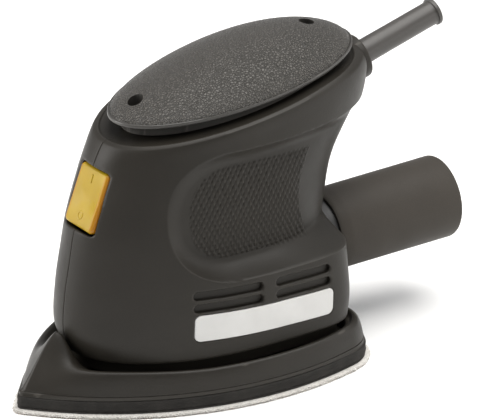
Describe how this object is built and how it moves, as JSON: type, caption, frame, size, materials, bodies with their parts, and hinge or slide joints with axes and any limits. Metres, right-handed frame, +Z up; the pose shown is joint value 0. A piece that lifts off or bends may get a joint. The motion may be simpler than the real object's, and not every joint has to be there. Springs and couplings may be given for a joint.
{
  "type": "detail mouse sander",
  "caption": "Palm-held detail sander with an iron-shaped orbital pad, knurled grip, domed palm cap, rocker switch, dust tube and cord guard.",
  "frame": {"origin": "centre of the underside of the sanding sheet", "axes": "+X to the nose of the pad, +Y to the tool's left side, +Z up out of the work surface"},
  "size_m": [0.2074, 0.0998, 0.137],
  "materials": {
    "charcoal_plastic": "fine-textured warm charcoal moulded plastic",
    "grained_plastic": "coarse leather-grained dark plastic",
    "tube_plastic": "satin charcoal plastic",
    "black_plastic": "black moulded plastic",
    "fan_plastic": "grey-green glass-filled plastic",
    "yellow_plastic": "yellow moulded plastic, slightly translucent",
    "label_film": "plain pale film, no print",
    "black_rubber": "soft black rubber",
    "cushion_foam": "dense black foam rubber",
    "hook_fabric": "black hook tape",
    "sheet_backing": "off-white loop backing with abrasive grit below",
    "zinc_steel": "zinc-plated screws",
    "bearing_steel": "ground steel",
    "lamination_steel": "stacked laminations",
    "cast_zinc": "die-cast grey metal",
    "copper_wire": "enamelled copper wire",
    "copper_bar": "copper bars",
    "brass": "stamped brass",
    "carbon": "pressed carbon",
    "capacitor_case": "dipped capacitor case"
  },
  "bodies": {
    "housing": {"housing_left": "charcoal_plastic", "housing_right": "charcoal_plastic", "top_cap": "grained_plastic", "cap_screws": "zinc_steel", "housing_screws": "zinc_steel", "label_plate": "label_film", "switch_body": "black_plastic", "switch_terminals": "brass", "capacitor": "capacitor_case", "cord_guard": "black_rubber", "cord_clamp": "black_plastic", "clamp_screws": "zinc_steel", "dust_port": "black_plastic", "stator_core": "lamination_steel", "field_coils": "copper_wire", "motor_bracket": "black_plastic", "fan_shroud": "black_plastic", "lower_bearing": "bearing_steel", "upper_bearing": "bearing_steel", "bearing_bush": "black_rubber", "brush_holders": "brass", "carbon_brushes": "carbon", "brush_springs": "bearing_steel"},
    "rotor": {"motor_shaft": "bearing_steel", "armature_core": "lamination_steel", "armature_windings": "copper_wire", "commutator": "copper_bar", "cooling_fan": "fan_plastic", "eccentric_weight": "cast_zinc", "pad_screw": "zinc_steel"},
    "pad": {"pad_bearing": "bearing_steel", "retaining_ring": "bearing_steel", "pad_hub": "cast_zinc", "hub_screws": "zinc_steel", "platen": "charcoal_plastic", "pad_cushion": "cushion_foam", "hook_layer": "hook_fabric", "sanding_sheet": "sheet_backing", "rubber_posts": "black_rubber", "post_screws": "zinc_steel"},
    "rocker": {"switch_rocker": "yellow_plastic"},
    "tube": {"dust_tube": "tube_plastic"}
  },
  "joints": [
    {"name": "motor_spin", "type": "hinge", "parent": "housing", "child": "rotor", "pos_m": [-0.014, 0, 0.06], "axis": [0, 0, 1], "continuous": true},
    {"name": "pad_orbit", "type": "hinge", "parent": "rotor", "child": "pad", "pos_m": [-0.0132, 0, 0.0145], "axis": [0, 0, 1], "continuous": true},
    {"name": "rocker_tip", "type": "hinge", "parent": "housing", "child": "rocker", "pos_m": [0.03299, 0, 0.0829], "axis": [0, 1, 0], "range_deg": [0, 8]},
    {"name": "tube_pull", "type": "slide", "parent": "housing", "child": "tube", "axis": [-1, 0, 0], "range_m": [0, 0.024]}
  ],
  "couplings": [
    {"joint": "pad_orbit", "follows": "motor_spin", "ratio": -1}
  ]
}
